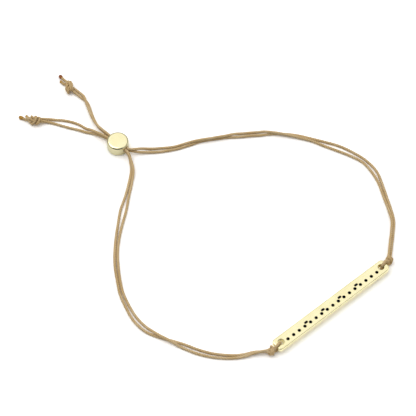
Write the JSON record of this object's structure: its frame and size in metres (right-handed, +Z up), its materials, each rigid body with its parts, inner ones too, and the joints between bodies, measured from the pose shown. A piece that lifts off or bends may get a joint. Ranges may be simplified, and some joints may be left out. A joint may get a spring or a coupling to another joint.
{
  "type": "cord bracelet",
  "caption": "Cord bracelet lying open: paired cord strands knotted through the holes of an engraved metal bar and drawn through a round sliding bead, with knotted tails.",
  "frame": {"origin": "on the surface that the bracelet lies on, in the middle of the box round the bar and the bead", "axes": "+X along the bar, +Y from the bar to the bead, +Z up from the surface"},
  "size_m": [0.0836, 0.1101, 0.0034],
  "materials": {
    "gold_metal": "polished pale gold plating",
    "black_enamel": "black enamel set in the pits",
    "cord": "tan waxed cord of three loosely twisted plies",
    "melted_cord": "cord end melted to a brown bead"
  },
  "bodies": {
    "root": {"bar": "gold_metal", "mark_fill": "black_enamel", "slider": "gold_metal", "right_strand_a": "cord", "right_strand_b": "cord", "left_strand_a": "cord", "left_strand_b": "cord", "right_bar_knot": "cord", "left_bar_knot": "cord", "right_tail_knot": "cord", "left_tail_knot": "cord", "right_tip_a": "melted_cord", "right_tip_b": "melted_cord", "left_tip_a": "melted_cord", "left_tip_b": "melted_cord"}
  },
  "joints": []
}
